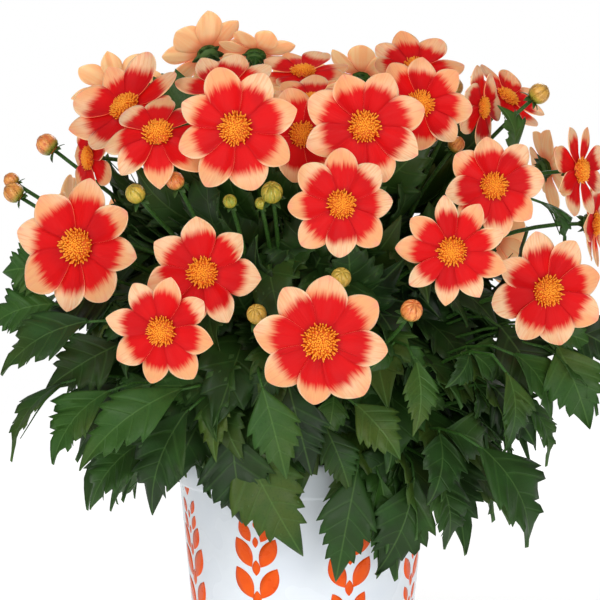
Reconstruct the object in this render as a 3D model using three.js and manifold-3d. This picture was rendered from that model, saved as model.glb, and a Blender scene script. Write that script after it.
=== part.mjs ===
// A potted dahlia: a dome of single blooms over leafy stems that stand in the soil of a tapered pot.
// Millimetres, +Z up. The origin is the middle of the pot's underside, and the front faces -Y.
import * as THREE from 'three';
import { mergeVertices } from 'three/addons/utils/BufferGeometryUtils.js';
import Module from 'manifold-3d';

const wasm = await Module();
wasm.setup();

// Driving dimensions
const GAP = 0.3; // left between two solids that touch
const CLEARANCE = 0.27; // least distance of a leaf, stalk or bud from any other stem or bloom
const TRIM = 0.01; // bends flatter than this are left out where pieces are fused
const PATIENCE = 250; // ways to bend a piece that are tried before it may cross its own stem's pieces

const pot = {
  height: 135,
  rim: 77, // outer radius at the top
  foot: 63.5, // outer radius at the bottom
  wall: 2,
  floor: 3,
  band: 19, // height of the band below the rim
  step: 0.8, // how far the band stands proud of the wall
  sides: 28,
  drains: 4,
  drainRadius: 4,
  drainRing: 40,
  drainSides: 6,
};

// The soil's height at the pot's wall and in the middle, and the plain holes that the stems stand in
const soil = { edge: 117, middle: 120, holeFoot: 80, holeRadius: 3.9, holeSides: 6 };

const stem = {
  count: 9,
  ring: 27, // distance of each stem from the pot's axis in the soil
  radius: 3,
  topRadius: 2,
  sides: 5,
  free: 126, // a stem starts to lean at this height
  lean: 24, // how far it leans out by its top
  top: 240,
  lowest: 140, // no stalk or leaf leaves a stem below this height
  steps: 2,
};

const stalk = {
  radius: 1.6,
  sides: 3,
  steps: 2,
  rise: 1.4, // how steeply it leaves its stem, as rise over run
  straight: 9, // where it starts to widen, behind the middle of its bloom
  calyx: 5, // radius of the green cup under a bloom
  calyxFoot: 3.7, // where the cup is at its full width, behind the middle of its bloom
};

const petal = {
  thick: 0.8,
  fill: 0.78, // width, as a share of the room that the petals have at their widest
  lap: 1.5, // rise of an edge over its neighbour, and its dip under it
  uneven: 0.1,
  narrow: 0.86, // width of the petals of a bloom with narrow ones, as a share of the others'
  // places along the petal, and its half width there as a share of the widest
  outline: [[0.5, 1], [0.83, 0.66]],
};

// The golden disc: its shares of the bloom's width (across, and in height), the radius of the ring of
// florets, their heights by turns and that of the middle as shares of its own, the width of a petal's
// foot on its edge, and the depth of the seat under it
const disc = {
  across: 0.28,
  height: 0.11,
  ring: 0.62,
  florets: [0.62, 0.98],
  middle: 0.86,
  facet: 0.62,
  seat: 2.5,
};

const leaf = {
  thick: 0.8,
  stalkHalf: 1.3,
  arch: 0.16, // bulge of the midrib, as a share of the blade's length
  fold: 0.22, // rise of the edges over the midrib, as a share of the half width
  rib: 0.55, // place of the one bend in the midrib
  // places along the blade, and its half width there as a share of the widest: teeth and notches
  outline: [[0.2, 0.56], [0.46, 1], [0.48, 0.76], [0.68, 0.72], [0.7, 0.44]],
  innerOutline: [[0.24, 0.64], [0.5, 1], [0.53, 0.7]], // that of the leaves inside, with one tooth a side
};

// A bud's rings beyond its stalk: how far on, and how wide, as shares of its radius
const bud = { sides: 4, stalk: 0.7, rise: 120, foot: -1, rings: [[-0.6, 0.9], [0.3, 1], [1.1, 0.2]] };

// Each bloom: its middle, the way it faces in degrees (turned to the right of the front, and tilted up),
// its width across, its petals, how far the tips come forward as a share of the radius, and whether its
// petals are narrow ones
const blooms = [
  { at: [-126, -85, 260], turn: -20, tilt: 5, across: 78, petals: 8, cup: 0.06 },
  { at: [-100, -62, 337], turn: -32, tilt: 35, across: 71, petals: 8, cup: 0.2 },
  { at: [-123, -40, 309], turn: -60, tilt: 0, across: 54, petals: 7, cup: -0.1, narrow: true },
  { at: [-79, -112, 322], turn: -8, tilt: 38, across: 66, petals: 8, cup: -0.24, narrow: true },
  { at: [-36, -134, 325], turn: -10, tilt: 5, across: 70, petals: 8, cup: 0.06 },
  { at: [-44, -72, 347], turn: -10, tilt: 45, across: 60, petals: 8, cup: 0.05 },
  { at: [0, -30, 358], turn: 0, tilt: 60, across: 56, petals: 8, cup: 0.1 },
  { at: [5, -73, 341], turn: 5, tilt: 60, across: 50, petals: 7, cup: 0.12 },
  { at: [-1, -102, 322], turn: 12, tilt: 12, across: 58, petals: 7, cup: 0.05 },
  { at: [33, -126, 326], turn: 2, tilt: 12, across: 68, petals: 8, cup: 0.03 },
  { at: [65, -92, 339], turn: 12, tilt: 22, across: 59, petals: 8, cup: 0.08 },
  { at: [65, -42, 360], turn: 15, tilt: 48, across: 60, petals: 8, cup: 0.12 },
  { at: [101, -64, 338], turn: 60, tilt: 0, across: 49, petals: 7, cup: -0.04 },
  { at: [120, -14, 344], turn: 45, tilt: 45, across: 55, petals: 8, cup: 0.1 },
  { at: [20, -146, 285], turn: 5, tilt: 5, across: 61, petals: 8, cup: -0.08 },
  { at: [104, -108, 294], turn: 10, tilt: 5, across: 60, petals: 8, cup: 0.04 },
  { at: [80, -136, 260], turn: -10, tilt: -8, across: 62, petals: 9, cup: 0.05, narrow: true },
  { at: [135, -98, 236], turn: 15, tilt: 0, across: 68, petals: 8, cup: 0.04 },
  { at: [9, -157, 213], turn: 0, tilt: -4, across: 76, petals: 8, cup: 0.04 },
  { at: [-54, -132, 248], turn: -8, tilt: 2, across: 66, petals: 7, cup: 0.03, narrow: true },
  { at: [-75, -148, 218], turn: -14, tilt: -6, across: 63, petals: 8, cup: 0.03, narrow: true },
  { at: [159, -45, 302], turn: 52, tilt: 2, across: 58, petals: 8, cup: 0.05, narrow: true },
  { at: [172, -10, 270], turn: 72, tilt: 0, across: 56, petals: 7, cup: 0.05 },
  { at: [-58, 18, 372], turn: -150, tilt: 42, across: 60, petals: 8, cup: 0.1 },
  { at: [-28, -6, 371], turn: 170, tilt: 62, across: 50, petals: 7, cup: 0.1 },
  { at: [36, 34, 358], turn: 165, tilt: 52, across: 48, petals: 7, cup: 0.3 },
  { at: [-112, 14, 350], turn: -165, tilt: 35, across: 58, petals: 8, cup: 0.1, narrow: true },
  { at: [149, 30, 303], turn: 108, tilt: 15, across: 54, petals: 7, cup: 0.05 },
  { at: [0, 94, 346], turn: 180, tilt: 38, across: 68, petals: 7, cup: 0.05 },
  { at: [84, 92, 330], turn: 140, tilt: 28, across: 64, petals: 8, cup: 0.1, narrow: true },
  { at: [-80, 88, 330], turn: -140, tilt: 26, across: 66, petals: 7, cup: 0.05 },
  { at: [-146, 44, 272], turn: -95, tilt: 8, across: 60, petals: 7, cup: 0.05 },
  { at: [-118, 98, 256], turn: -130, tilt: 4, across: 66, petals: 8, cup: 0.08, narrow: true },
  { at: [-38, 142, 262], turn: -168, tilt: 4, across: 66, petals: 8, cup: 0.02 },
  { at: [44, 140, 250], turn: 166, tilt: 0, across: 68, petals: 8, cup: 0.05 },
  { at: [122, 92, 258], turn: 128, tilt: 4, across: 66, petals: 8, cup: 0.05 },
];

// Each large leaf at the front: the foot and tip of its blade, and its width
const frontLeaves = [
  { foot: [-63, -118, 172], tip: [-83, -114, 113], width: 38 },
  { foot: [-22, -133, 187], tip: [-9, -130, 137], width: 31 },
  { foot: [-66, -122, 184], tip: [-122, -124, 139], width: 34 },
  { foot: [-87, -98, 153], tip: [-119, -96, 113], width: 36 },
  { foot: [-36, -104, 154], tip: [0, -104, 88], width: 42 },
  { foot: [18, -104, 132], tip: [18, -98, 73], width: 24 },
  { foot: [62, -98, 132], tip: [40, -98, 77], width: 39 },
  { foot: [73, -94, 136], tip: [80, -88, 89], width: 30 },
  { foot: [98, -106, 150], tip: [126, -97, 92], width: 46 },
  { foot: [112, -112, 192], tip: [110, -112, 148], width: 27 },
  { foot: [118, -88, 200], tip: [138, -92, 163], width: 36 },
  { foot: [61, -122, 200], tip: [60, -124, 158], width: 22 },
  { foot: [28, -122, 176], tip: [53, -122, 145], width: 27 },
  { foot: [12, -112, 162], tip: [26, -110, 124], width: 22 },
  { foot: [-44, -104, 178], tip: [-33, -106, 134], width: 27 },
  { foot: [-136, -82, 227], tip: [-174, -74, 213], width: 36 },
  { foot: [-119, -98, 219], tip: [-168, -94, 188], width: 36 },
  { foot: [-144, -64, 247], tip: [-175, -50, 244], width: 30 },
  { foot: [-134, -88, 184], tip: [-163, -100, 141], width: 22 },
  { foot: [-107, -104, 181], tip: [-138, -108, 140], width: 36 },
  { foot: [136, -74, 203], tip: [165, -84, 164], width: 36 },
  { foot: [124, -74, 174], tip: [139, -72, 134], width: 24 },
  { foot: [119, -64, 312], tip: [110, -72, 339], width: 26 },
  { foot: [137, -64, 284], tip: [147, -70, 259], width: 30 },
];

// Tiers of large leaves round the sides and the back, and then of inner leaves all round among the
// stems: the foot and tip of their blades (distance from the pot's axis, and height), their width, how
// many stand in the tier at most, and the degrees round the front where it starts and how far it runs
const leafTiers = [
  { foot: [82, 292], tip: [130, 300], width: 34, count: 3, start: 90, span: 180 },
  { foot: [84, 244], tip: [162, 206], width: 44, count: 7, start: 80, span: 200 },
  { foot: [80, 200], tip: [152, 142], width: 46, count: 8, start: 86, span: 192 },
  { foot: [86, 166], tip: [114, 94], width: 44, count: 8, start: 82, span: 196 },
  { foot: [66, 206], tip: [96, 140], width: 38, count: 4, start: -72, span: 144 },
  { foot: [52, 174], tip: [92, 124], width: 46, count: 9, start: -170, span: 360, inner: true },
  { foot: [52, 216], tip: [94, 172], width: 48, count: 9, start: -160, span: 360, inner: true },
  { foot: [50, 262], tip: [94, 228], width: 46, count: 9, start: -175, span: 360, inner: true },
];
const tierUneven = { height: 10, twist: 14, width: 0.3 };
const domeDepth = 0.9; // the dome is this much shallower, front to back, than it is wide
const LEAF_SIDE = 0.3; // the share of a leaf's length where it shows which stem it grows from

// Each bud: its middle and its radius
const buds = [
  { at: [-152, -6, 317], radius: 6 },
  { at: [-169, -30, 289], radius: 5.5 },
  { at: [-92, -108, 290], radius: 5 },
  { at: [-17, -124, 291], radius: 5.5 },
  { at: [-25, -138, 226], radius: 5 },
  { at: [20, -144, 246], radius: 5 },
  { at: [58, -138, 228], radius: 5.5 },
  { at: [135, -52, 346], radius: 5.5 },
  { at: [92, 34, 352], radius: 5.5 },
  { at: [0, 146, 296], radius: 5.5 },
];

const materials = {
  pot: { color: 0xf4f5f7, roughness: 0.3 },
  soil: { color: 0x2c2019, roughness: 0.95 },
  bloom: { color: 0xf2764a, roughness: 0.6 },
  stem: { color: 0x3a6324, roughness: 0.55 },
};

const up = new THREE.Vector3(0, 0, 1);
const vector = (place) => new THREE.Vector3(...place);
const radians = THREE.MathUtils.degToRad;

// A draw from 0 to 1 that is always the same for the same seed
function draw(seed) {
  const wave = Math.sin(seed * 12.9898) * 43758.5453;
  return wave - Math.floor(wave);
}

// A closed surface that is put together from points and triangles
class Facets {
  points = [];
  triangles = [];

  point(place) {
    return this.points.push(place) - 1;
  }

  face(a, b, c) {
    this.triangles.push([a, b, c]);
  }

  quad(a, b, c, d) {
    this.face(a, b, c);
    this.face(a, c, d);
  }

  // The wall between the edge of an upper sheet and that of the sheet below it
  rim(upper, lower) {
    upper.forEach((a, i) => {
      const next = (i + 1) % upper.length;
      this.quad(a, lower[i], lower[next], upper[next]);
    });
  }

  geometry() {
    const geometry = new THREE.BufferGeometry().setFromPoints(this.points);
    geometry.setIndex(this.triangles.flat());
    return geometry;
  }
}

function solidOf(geometry) {
  const bare = geometry.clone();
  bare.deleteAttribute('normal');
  bare.deleteAttribute('uv');
  const merged = mergeVertices(bare, 1e-4);
  const corners = merged.index.array;
  const triVerts = [];
  for (let i = 0; i < corners.length; i += 3) {
    const [a, b, c] = corners.slice(i, i + 3);
    if (a !== b && b !== c && c !== a) triVerts.push(a, b, c);
  }
  return new wasm.Manifold(new wasm.Mesh({
    numProp: 3,
    vertProperties: merged.attributes.position.array,
    triVerts: Uint32Array.from(triVerts),
  }));
}

function geometryOf(solid) {
  const { vertProperties, triVerts } = solid.getMesh();
  const geometry = new THREE.BufferGeometry();
  geometry.setAttribute('position', new THREE.BufferAttribute(vertProperties, 3));
  geometry.setIndex([...triVerts]);
  return geometry;
}

function meshOf(name, geometry, look) {
  geometry.computeVertexNormals();
  const mesh = new THREE.Mesh(geometry, new THREE.MeshStandardMaterial({ metalness: 0, ...look }));
  mesh.name = name;
  return mesh;
}

function lathe(profile, sides) {
  const outline = profile.map(([radius, height]) => new THREE.Vector2(radius, height));
  return new THREE.LatheGeometry(outline, sides).rotateX(Math.PI / 2);
}

// An upright prism with its foot at a place
function post(radius, height, sides, place) {
  const geometry = new THREE.CylinderGeometry(radius, radius, height, sides);
  return geometry.rotateX(Math.PI / 2).translate(place.x, place.y, place.z + height / 2);
}

// A place at an angle round the pot's axis, counted from the front to the right
function around(angle, distance, height) {
  return new THREE.Vector3(distance * Math.sin(angle), -distance * Math.cos(angle), height);
}

const potRadius = (height) => pot.foot + ((pot.rim - pot.step - pot.foot) * height) / pot.height;

function potSolid() {
  const bandFoot = pot.height - pot.band;
  const body = solidOf(lathe([
    [0, 0],
    [pot.foot, 0],
    [potRadius(bandFoot - pot.step), bandFoot - pot.step],
    [potRadius(bandFoot) + pot.step, bandFoot],
    [pot.rim, pot.height],
    [potRadius(pot.height) - pot.wall, pot.height],
    [potRadius(pot.floor) - pot.wall, pot.floor],
    [0, pot.floor],
  ], pot.sides));
  const drains = Array.from({ length: pot.drains }, (_, i) => {
    const place = around(((i + 0.5) * 2 * Math.PI) / pot.drains, pot.drainRing, -pot.floor);
    return solidOf(post(pot.drainRadius, 3 * pot.floor, pot.drainSides, place));
  });
  return body.subtract(wasm.Manifold.union(drains));
}

const stemAngle = (i) => ((i + 0.5) * 2 * Math.PI) / stem.count;

function soilSolid() {
  const foot = pot.floor + GAP;
  const inside = (height) => potRadius(height) - pot.wall - GAP;
  const plug = solidOf(lathe([
    [0, foot],
    [inside(foot), foot],
    [inside(soil.edge), soil.edge],
    [0, soil.middle],
  ], pot.sides));
  const holes = Array.from({ length: stem.count }, (_, i) => {
    const place = around(stemAngle(i), stem.ring, soil.holeFoot - GAP);
    return solidOf(post(soil.holeRadius, soil.middle, soil.holeSides, place));
  });
  return plug.subtract(wasm.Manifold.union(holes));
}

// The half width, distance and height of a petal at each place of its outline
function petalRows(bloom, seed) {
  const reach = (bloom.across / 2) * (1 - petal.uneven * draw(seed));
  const start = (bloom.across / 2) * disc.across;
  const step = Math.PI / bloom.petals;
  const widest = petal.fill * (bloom.narrow ? petal.narrow : 1) * reach * Math.sin(step);
  const rows = petal.outline.map(([along, wide]) => ({
    distance: start + (reach - start) * along,
    half: widest * wide,
    height: bloom.cup * reach * along ** 2,
    lap: petal.lap * wide,
  }));
  const base = { distance: start, half: start * Math.sin(disc.facet * step), height: 0, lap: 0 };
  return [base, ...rows, { distance: reach, half: 0, height: bloom.cup * reach, lap: 0 }];
}

// One petal's upper and lower sheets; each keeps its edge points in order, first side, tip, second side
function addPetal(shape, rows, angle, lapFirst, lapSecond) {
  const outward = new THREE.Vector3(Math.cos(angle), Math.sin(angle), 0);
  const sideways = new THREE.Vector3(-Math.sin(angle), Math.cos(angle), 0);
  const edge = (row, side, lap) => outward.clone().multiplyScalar(row.distance)
    .addScaledVector(sideways, side * row.half).addScaledVector(up, row.height + lap * row.lap);
  const wide = rows.slice(0, -1);
  const places = [
    ...wide.map((row) => edge(row, -1, lapFirst)),
    edge(rows.at(-1), 0, 0),
    ...wide.toReversed().map((row) => edge(row, 1, lapSecond)),
  ];
  const upper = places.map((place) => shape.point(place.clone().addScaledVector(up, petal.thick / 2)));
  const lower = places.map((place) => shape.point(place.clone().addScaledVector(up, -petal.thick / 2)));
  const last = places.length - 1;
  wide.forEach((_, i) => {
    if (i === wide.length - 1) {
      shape.face(upper[i], upper[i + 1], upper[last - i]);
      shape.face(lower[i], lower[last - i], lower[i + 1]);
    } else {
      shape.quad(upper[i], upper[i + 1], upper[last - i - 1], upper[last - i]);
      shape.quad(lower[last - i], lower[last - i - 1], lower[i + 1], lower[i]);
    }
  });
  return { upper, lower };
}

// The golden disc: a low dome whose ring of points stands up and dips by turns, as its florets do
function addDisc(shape, upper, lower, radius) {
  const height = (2 * radius * disc.height) / disc.across;
  const ring = upper.map((corner, i) => {
    const place = shape.points[corner].clone().multiplyScalar(disc.ring);
    return shape.point(place.setZ(height * disc.florets[i % 2]));
  });
  const crown = shape.point(new THREE.Vector3(0, 0, height * disc.middle));
  const seat = shape.point(new THREE.Vector3(0, 0, -disc.seat));
  upper.forEach((corner, i) => {
    const next = (i + 1) % upper.length;
    shape.quad(corner, upper[next], ring[next], ring[i]);
    shape.face(ring[i], ring[next], crown);
    shape.face(lower[i], seat, lower[next]);
  });
}

function bloomGeometry(bloom, seed) {
  const shape = new Facets();
  const over = (k) => (draw(seed + ((k + bloom.petals) % bloom.petals) * 7.7) > 0.5 ? 1 : -1);
  const petals = Array.from({ length: bloom.petals }, (_, k) => {
    const angle = (k * 2 * Math.PI) / bloom.petals + draw(seed) * 2;
    return addPetal(shape, petalRows(bloom, seed + k * 3.1), angle, -over(k - 1), over(k));
  });
  shape.rim(petals.flatMap(({ upper }) => upper), petals.flatMap(({ lower }) => lower));
  const inner = (edge) => [edge[0], edge.at(-1)];
  addDisc(
    shape,
    petals.flatMap(({ upper }) => inner(upper)),
    petals.flatMap(({ lower }) => inner(lower)),
    (bloom.across / 2) * disc.across,
  );
  return shape.geometry();
}

// The way that a bloom faces
function facing(bloom) {
  const turn = radians(bloom.turn);
  const tilt = radians(bloom.tilt);
  return new THREE.Vector3(
    Math.sin(turn) * Math.cos(tilt),
    -Math.cos(turn) * Math.cos(tilt),
    Math.sin(tilt),
  );
}

function bloomMesh(bloom, index) {
  const name = `bloom_${String(index + 1).padStart(2, '0')}`;
  const mesh = meshOf(name, bloomGeometry(bloom, index + 1), materials.bloom);
  mesh.position.copy(vector(bloom.at));
  mesh.quaternion.setFromUnitVectors(up, facing(bloom));
  mesh.updateMatrix();
  return mesh;
}

// A closed tapering limb along a path
function limb(path, radii, sides) {
  const shape = new Facets();
  const direction = (i) => path[Math.min(i + 1, path.length - 1)].clone()
    .sub(path[Math.max(i - 1, 0)]).normalize();
  const seed = Math.abs(direction(0).z) > 0.9 ? new THREE.Vector3(1, 0, 0) : up;
  const across = new THREE.Vector3().crossVectors(direction(0), seed).normalize();
  const rings = path.map((place, i) => {
    const along = direction(i);
    across.addScaledVector(along, -across.dot(along)).normalize();
    const beside = new THREE.Vector3().crossVectors(along, across);
    return Array.from({ length: sides }, (_, k) => {
      const angle = (k * 2 * Math.PI) / sides;
      return shape.point(place.clone()
        .addScaledVector(across, radii[i] * Math.cos(angle))
        .addScaledVector(beside, radii[i] * Math.sin(angle)));
    });
  });
  rings.slice(1).forEach((ring, i) => shape.rim(ring, rings[i]));
  const [first, last] = [rings[0], rings.at(-1)];
  for (let k = 1; k < sides - 1; k += 1) {
    shape.face(first[0], first[k + 1], first[k]);
    shape.face(last[0], last[k], last[k + 1]);
  }
  return solidOf(shape.geometry());
}

// Points along a curve that leaves one place in one direction and reaches another in another
function bend(from, leaving, to, arriving, handle, steps) {
  const reach = from.distanceTo(to) * handle;
  const curve = new THREE.CubicBezierCurve3(
    from,
    from.clone().addScaledVector(leaving, reach),
    to.clone().addScaledVector(arriving, -reach),
    to,
  );
  return curve.getPoints(steps);
}

function stemPath(i) {
  const angle = stemAngle(i);
  const share = (part) => around(angle, stem.ring + stem.lean * part ** 2,
    stem.free + (stem.top - stem.free) * part);
  const leaning = Array.from({ length: stem.steps + 1 }, (_, k) => share(k / stem.steps));
  return [around(angle, stem.ring, soil.holeFoot), ...leaning];
}

function stemSolid(i) {
  const path = stemPath(i);
  const radii = path.map((_, k) => stem.radius + ((stem.topRadius - stem.radius) * k) / (path.length - 1));
  return limb(path, radii, stem.sides);
}

// The point of a stem at a height, a little off its axis on the side of what grows from there
function onStem(i, height, towards) {
  const level = THREE.MathUtils.clamp(height, stem.lowest, stem.top - stem.radius);
  const path = stemPath(i);
  const k = path.findIndex((place) => place.z >= level);
  const [low, high] = [path[k - 1], path[k]];
  const middle = low.clone().lerp(high, (level - low.z) / (high.z - low.z));
  const way = towards.clone().sub(middle).setZ(0).normalize();
  return middle.addScaledVector(way, stem.topRadius / 2);
}

// The stem on whose side of the plant a place lies
function ownerOf(place) {
  const angle = (Math.atan2(place.x, -place.y) + 2 * Math.PI) % (2 * Math.PI);
  return Math.floor((angle * stem.count) / (2 * Math.PI));
}

// The way that a stalk leaves its stem for a place: up and out
function rising(root, place) {
  return place.clone().sub(root).setZ(0).normalize().addScaledVector(up, stalk.rise).normalize();
}

// A flower stalk from its stem, bent to meet the back of its bloom, where it widens into a calyx
function stalkSolid(owner, bloom, drop, handle) {
  const place = vector(bloom.at);
  const way = facing(bloom);
  const behind = (distance) => place.clone().addScaledVector(way, -distance);
  const root = onStem(owner, place.z - drop, place);
  const path = [
    ...bend(root, rising(root, place), behind(stalk.straight), way, handle, stalk.steps),
    behind(stalk.calyxFoot),
    behind(disc.seat + GAP),
  ];
  const radii = path.map((_, k) => (k < path.length - 2 ? stalk.radius : stalk.calyx));
  return limb(path, radii, stalk.sides);
}

// Triangles between the midrib and one edge of a blade, taken in order from foot to tip
function zip(shape, rib, edge, flipped) {
  let [i, j] = [0, 0];
  while (i < rib.length - 1 || j < edge.length - 1) {
    const ribNext = j === edge.length - 1
      || (i < rib.length - 1 && rib[i + 1].along <= edge[j + 1].along);
    const next = ribNext ? rib[i + 1] : edge[j + 1];
    const corners = [rib[i].index, edge[j].index, next.index];
    if (new Set(corners).size === 3) shape.face(...(flipped ? corners.toReversed() : corners));
    if (ribNext) i += 1;
    else j += 1;
  }
}

// A leaf with its flat stalk and toothed blade, one thin solid from its root on the stem to its tip
function leafSolid(root, { foot, tip, width, outline = leaf.outline }) {
  const shape = new Facets();
  const chord = tip.clone().sub(foot);
  const outward = new THREE.Vector3(foot.x + tip.x, foot.y + tip.y, foot.distanceTo(tip)).normalize();
  const side = new THREE.Vector3().crossVectors(chord, outward).normalize();
  const face = new THREE.Vector3().crossVectors(side, chord).normalize();
  const stalkFace = new THREE.Vector3().crossVectors(side, foot.clone().sub(root)).normalize();
  const elbow = face.clone().add(stalkFace).normalize();
  elbow.divideScalar(Math.max(elbow.dot(face), 0.5));
  const knee = foot.clone().addScaledVector(chord, 0.5)
    .addScaledVector(face, 2 * leaf.arch * chord.length());
  const midrib = new THREE.QuadraticBezierCurve3(foot, knee, tip);
  const sheet = (level) => {
    const add = (place, away = face) => shape.point(place.clone().addScaledVector(away, level));
    const tipPoint = { index: add(tip), along: 1 };
    const rib = [
      { index: add(foot, elbow), along: 0 },
      { index: add(midrib.getPoint(leaf.rib)), along: leaf.rib },
      tipPoint,
    ];
    const roots = [1, -1].map((sign) => add(
      root.clone().addScaledVector(side, sign * leaf.stalkHalf),
      stalkFace,
    ));
    const edge = (sign) => [
      { index: add(foot.clone().addScaledVector(side, sign * leaf.stalkHalf), elbow), along: 0 },
      ...outline.map(([along, wide]) => {
        const half = (width / 2) * wide;
        const place = midrib.getPoint(along).addScaledVector(side, sign * half)
          .addScaledVector(face, leaf.fold * half);
        return { index: add(place), along };
      }),
      tipPoint,
    ];
    return { rib, roots, first: edge(1), second: edge(-1) };
  };
  const upper = sheet(leaf.thick / 2);
  const lower = sheet(-leaf.thick / 2);
  [upper, lower].forEach(({ rib, roots, first, second }, below) => {
    zip(shape, rib, first, Boolean(below));
    zip(shape, rib, second, !below);
    const [a, b, c] = [first[0].index, rib[0].index, second[0].index];
    [[roots[0], a, roots[1]], [a, b, roots[1]], [b, c, roots[1]]].forEach((corners) => {
      shape.face(...(below ? corners.toReversed() : corners));
    });
  });
  const loop = ({ roots, first, second }) => [
    roots[0], ...first.map(({ index }) => index),
    ...second.slice(0, -1).toReversed().map(({ index }) => index), roots[1],
  ];
  shape.rim(loop(upper), loop(lower));
  return solidOf(shape.geometry());
}

function budSolid(owner, place, radius, drop, handle) {
  const root = onStem(owner, place.z - drop, place);
  const way = new THREE.Vector3(place.x, place.y, bud.rise).normalize();
  const ahead = (distance) => place.clone().addScaledVector(way, distance * radius);
  const path = [
    ...bend(root, rising(root, place), ahead(bud.foot), way, handle, stalk.steps),
    ...bud.rings.map(([distance]) => ahead(distance)),
  ];
  const thin = Array(stalk.steps + 1).fill(stalk.radius * bud.stalk);
  return limb(path, [...thin, ...bud.rings.map(([, wide]) => radius * wide)], bud.sides);
}

// Solids in place, each with the stem that it grows from; blooms, pot and soil grow from none
const placed = [];

function place(solid, owner) {
  placed.push({ solid, owner, box: solid.boundingBox() });
}

function boxesApart(a, b) {
  return [0, 1, 2].some((axis) => a.min[axis] - b.max[axis] > CLEARANCE
    || b.min[axis] - a.max[axis] > CLEARANCE);
}

function isClear(solid, others) {
  const box = solid.boundingBox();
  return others.every((other) => boxesApart(box, other.box)
    || solid.minGap(other.solid, 2 * CLEARANCE) >= CLEARANCE);
}

// Puts in place the first of some ways to bend a piece that keeps clear of every other node, and if it
// can also of all that grows from its own stem. A piece that isn't needed is left out where it can't
function placeClear(ways, owner, label, needed = true) {
  const others = placed.filter((piece) => piece.owner !== owner);
  const beside = placed.filter((piece) => piece.owner === owner).slice(1);
  let spare = null;
  for (const [tries, way] of ways.entries()) {
    const solid = way();
    if (isClear(solid, others)) {
      spare ??= solid;
      if (isClear(solid, beside)) {
        place(solid, owner);
        return;
      }
    }
    if (needed && spare && tries > PATIENCE) break;
  }
  if (!needed) return;
  if (!spare) throw new Error(`no room for ${label}`);
  place(spare, owner);
}

// Ways to lead a stalk: roots lower or higher on the stem, and tighter or wider bends
const stalkDrops = [70, 80, 60, 90, 50, 100, 110, 120, 130, 140];
const stalkHandles = [0.36, 0.24, 0.48, 0.6, 0.12];

function stalkWays(lead) {
  return stalkDrops.flatMap((drop) => stalkHandles.map((handle) => () => lead(drop, handle)));
}

// Ways to set a leaf: swung round the plant in degrees, drawn in or pushed out, lower or higher, and
// with its root lower or higher on the stem
const leafSwings = [0, 3, -3, 6, -6, 10, -10, 14, -14];
const leafPushes = [1, 0.95, 1.05, 0.9, 1.1];
const leafLifts = [0, -6, 6, -12];
const leafDrops = [40, 30, 50, 20, 60, 10, 70, 0, -20];

function leafWays(owner, blade) {
  const way = (lift, push, swing, drop) => () => {
    const moved = (spot) => new THREE.Vector3(spot.x * push, spot.y * push, spot.z + lift)
      .applyAxisAngle(up, radians(swing));
    const [foot, tip] = [moved(blade.foot), moved(blade.tip)];
    return leafSolid(onStem(owner, blade.foot.z - drop, foot), { ...blade, foot, tip });
  };
  return leafLifts.flatMap((lift) => leafPushes.flatMap((push) => leafSwings.flatMap((swing) =>
    leafDrops.map((drop) => way(lift, push, swing, drop)))));
}

// The leaves of the tiers, each a little uneven in its place, its twist and its size
function tierLeaves() {
  return leafTiers.flatMap(({ foot, tip, width, count, start, span, inner }, tier) =>
    Array.from({ length: count }, (_, i) => {
      const seed = tier * 31 + i;
      const uneven = (part) => draw(seed + part) - 0.5;
      const angle = radians(start + (span * (i + 0.5 + uneven(0) / 2)) / count);
      const spot = ([distance, height], twist) =>
        around(angle + radians(twist), distance, height + tierUneven.height * uneven(0.3))
          .multiply(new THREE.Vector3(1, domeDepth, 1));
      return {
        foot: spot(foot, 0),
        tip: spot(tip, tierUneven.twist * uneven(0.6)),
        width: width * (1 + tierUneven.width * uneven(0.9)),
        outline: inner ? leaf.innerOutline : leaf.outline,
        inner,
      };
    }));
}

function growStalks() {
  blooms.forEach((bloom, i) => {
    const owner = ownerOf(vector(bloom.at));
    const lead = (drop, handle) => stalkSolid(owner, bloom, drop, handle);
    placeClear(stalkWays(lead), owner, `stalk ${i + 1}`);
  });
}

function growBuds() {
  buds.forEach(({ at, radius }, i) => {
    const owner = ownerOf(vector(at));
    const lead = (drop, handle) => budSolid(owner, vector(at), radius, drop, handle);
    placeClear(stalkWays(lead), owner, `bud ${i + 1}`);
  });
}

function growLeaves() {
  const front = frontLeaves.map(({ foot, tip, width }) => (
    { foot: vector(foot), tip: vector(tip), width }
  ));
  [...front, ...tierLeaves()].forEach((blade, i) => {
    const owner = ownerOf(blade.foot.clone().lerp(blade.tip, LEAF_SIDE));
    placeClear(leafWays(owner, blade), owner, `leaf ${i + 1}`, !blade.inner);
  });
}

// The largest body of a node's fused pieces
function fused(owner) {
  const pieces = placed.filter((piece) => piece.owner === owner);
  const whole = wasm.Manifold.union(pieces.map(({ solid }) => solid));
  const bodies = whole.decompose().sort((a, b) => b.volume() - a.volume());
  return bodies[0].simplify(TRIM);
}

const plant = new THREE.Group();

const potBody = potSolid();
const soilBody = soilSolid();
place(potBody, 'pot');
place(soilBody, 'soil');
plant.add(meshOf('pot', geometryOf(potBody), materials.pot));
plant.add(meshOf('soil', geometryOf(soilBody), materials.soil));

blooms.forEach((bloom, index) => {
  const mesh = bloomMesh(bloom, index);
  plant.add(mesh);
  place(solidOf(mesh.geometry.clone().applyMatrix4(mesh.matrix)), mesh.name);
});

for (let i = 0; i < stem.count; i += 1) place(stemSolid(i), i);
growStalks();
growBuds();
growLeaves();
for (let i = 0; i < stem.count; i += 1) {
  plant.add(meshOf(`leafy_stem_${i + 1}`, geometryOf(fused(i)), materials.stem));
}

export default plant;
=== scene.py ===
"""A potted dahlia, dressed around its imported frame.

Every size and place in this file is in millimetres, as in the part's source, and turns into metres
where a mesh is made. Marks are numbers that a surface's points carry for its material.
"""

from itertools import product
from math import atan2, cos, hypot, pi, radians, sin, sqrt, tau
from types import SimpleNamespace as Sizes

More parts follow.
